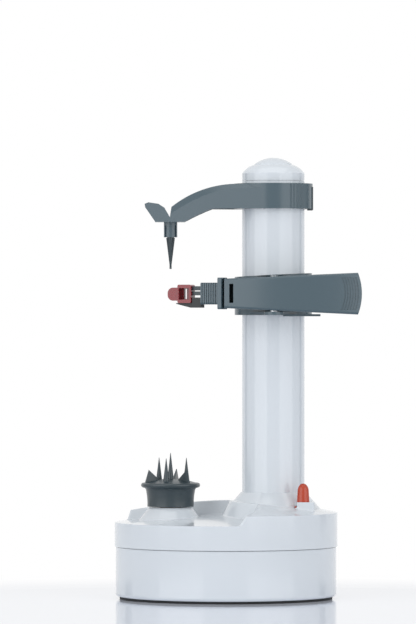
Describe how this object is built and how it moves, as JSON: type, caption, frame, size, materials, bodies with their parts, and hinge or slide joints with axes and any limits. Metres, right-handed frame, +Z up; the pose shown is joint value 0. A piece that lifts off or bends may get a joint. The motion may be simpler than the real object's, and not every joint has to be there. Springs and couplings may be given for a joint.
{
  "type": "electric potato peeler",
  "caption": "Countertop rotary peeler: round scooped base with a turning spiked holder, tower with a screw-driven spring peeling arm, sliding upper arm with a spike, and a start button.",
  "frame": {"origin": "centre of the foot ring, on the surface that the peeler stands on", "axes": "+Z up along the tower, +X from the food holder towards the tower, the user stands on the -Y side"},
  "size_m": [0.1619, 0.147, 0.2908],
  "materials": {
    "pearl_white_abs": "glossy moulded ABS with a fine orange-peel",
    "blue_grey_abs": "satin moulded ABS",
    "dark_grey_abs": "fine matt moulded ABS",
    "orange_abs": "glossy moulded ABS",
    "clear_red_plastic": "clear tinted styrene",
    "blade_steel": "ground stainless steel",
    "bright_steel": "zinc-plated steel",
    "brushed_steel_can": "drawn steel can",
    "bronze": "sintered bronze",
    "natural_acetal": "moulded acetal",
    "dark_nylon": "moulded nylon",
    "battery_jacket": "printed foil sleeve with no lettering",
    "black_rubber": "moulded soft rubber"
  },
  "bodies": {
    "base": {"foot_ring": "black_rubber", "base_lower_shell": "pearl_white_abs", "base_upper_cover": "pearl_white_abs", "battery_cells": "battery_jacket", "battery_contacts": "bright_steel", "gear_plate": "dark_nylon", "gear_axles": "bright_steel", "lower_bushes": "bronze", "plate_screws": "bright_steel", "case_screws": "bright_steel", "motor_body": "brushed_steel_can", "holder_bush": "bronze", "tower_tube": "pearl_white_abs", "tower_screws": "bright_steel", "tower_cap": "pearl_white_abs", "start_switch": "dark_nylon", "button_spring": "bright_steel", "dc_socket": "dark_nylon"},
    "battery_door": {"battery_cover": "pearl_white_abs"},
    "motor_rotor": {"motor_shaft": "bright_steel", "motor_pinion": "bronze"},
    "first_wheel": {"first_gear": "natural_acetal"},
    "second_wheel": {"second_gear": "natural_acetal"},
    "holder": {"holder_gear": "natural_acetal", "holder_shaft": "bright_steel", "food_holder": "dark_grey_abs"},
    "screw": {"lead_screw": "dark_nylon", "screw_gear": "natural_acetal"},
    "carriage": {"carriage_collar": "blue_grey_abs", "screw_follower": "natural_acetal", "arm_pivot_pin": "bright_steel", "arm_spring": "bright_steel"},
    "peel_arm": {"peeling_arm": "blue_grey_abs", "arm_back_cover": "dark_grey_abs", "blade_neck": "blue_grey_abs", "blade_stem": "dark_grey_abs", "blade_guard": "dark_nylon", "blade_frame": "clear_red_plastic", "blade": "blade_steel"},
    "top_arm": {"upper_arm": "blue_grey_abs"},
    "top_arm_release": {"arm_release_button": "dark_grey_abs"},
    "top_spike": {"upper_spike": "dark_grey_abs"},
    "button": {"start_button": "orange_abs"}
  },
  "joints": [
    {"name": "motor_spin", "type": "hinge", "parent": "base", "child": "motor_rotor", "pos_m": [-0.03591, 0.03595, 0.04], "axis": [0, 0, 1], "range_deg": [-275360, 97064]},
    {"name": "first_wheel_spin", "type": "hinge", "parent": "base", "child": "first_wheel", "pos_m": [-0.00791, 0.03595, 0.04], "axis": [0, 0, 1], "range_deg": [-21098.5, 59858.5]},
    {"name": "second_wheel_spin", "type": "hinge", "parent": "base", "child": "second_wheel", "pos_m": [-0.0027, 0.00641, 0.04], "axis": [0, 0, 1], "range_deg": [-15753.7, 5553.7]},
    {"name": "holder_spin", "type": "hinge", "parent": "base", "child": "holder", "pos_m": [-0.0366, 0, 0.07], "axis": [0, 0, 1], "range_deg": [-1961.4, 5561.4]},
    {"name": "screw_spin", "type": "hinge", "parent": "base", "child": "screw", "pos_m": [0.0312, 0, 0.15], "axis": [0, 0, 1], "range_deg": [-1961.4, 5561.4]},
    {"name": "carriage_travel", "type": "slide", "parent": "base", "child": "carriage", "axis": [0, 0, 1], "range_m": [-0.1081, 0.0381]},
    {"name": "peeling_arm_swing", "type": "hinge", "parent": "carriage", "child": "peel_arm", "pos_m": [0.0312, -0.038, 0.2], "axis": [0, 0, 1], "range_deg": [0, 28], "stiffness_Nm_per_rad": 0.004, "springref_deg": -34.38},
    {"name": "upper_arm_slide", "type": "slide", "parent": "base", "child": "top_arm", "axis": [0, 0, 1], "range_m": [-0.04, 0]},
    {"name": "arm_release_press", "type": "slide", "parent": "top_arm", "child": "top_arm_release", "axis": [-1, 0, 0], "range_m": [0, 0.001], "stiffness_N_per_m": 300, "springref_m": -0.002},
    {"name": "upper_spike_spin", "type": "hinge", "parent": "top_arm", "child": "top_spike", "pos_m": [-0.0366, 0, 0.24], "axis": [0, 0, 1], "continuous": true},
    {"name": "start_button_press", "type": "slide", "parent": "base", "child": "button", "axis": [0, 0, -1], "range_m": [0, 0.003], "stiffness_N_per_m": 250, "springref_m": -0.002, "deforming": ["button_spring"]},
    {"name": "battery_cover_slide", "type": "slide", "parent": "base", "child": "battery_door", "axis": [0, 1, 0], "range_m": [0, 0.01]}
  ],
  "couplings": [
    {"joint": "screw_spin", "follows": "carriage_travel", "rad_per_m": -897.6},
    {"joint": "holder_spin", "follows": "carriage_travel", "rad_per_m": -897.6},
    {"joint": "second_wheel_spin", "follows": "carriage_travel", "rad_per_m": 2543.2},
    {"joint": "first_wheel_spin", "follows": "carriage_travel", "rad_per_m": -9664.1},
    {"joint": "motor_spin", "follows": "carriage_travel", "rad_per_m": 44455}
  ]
}
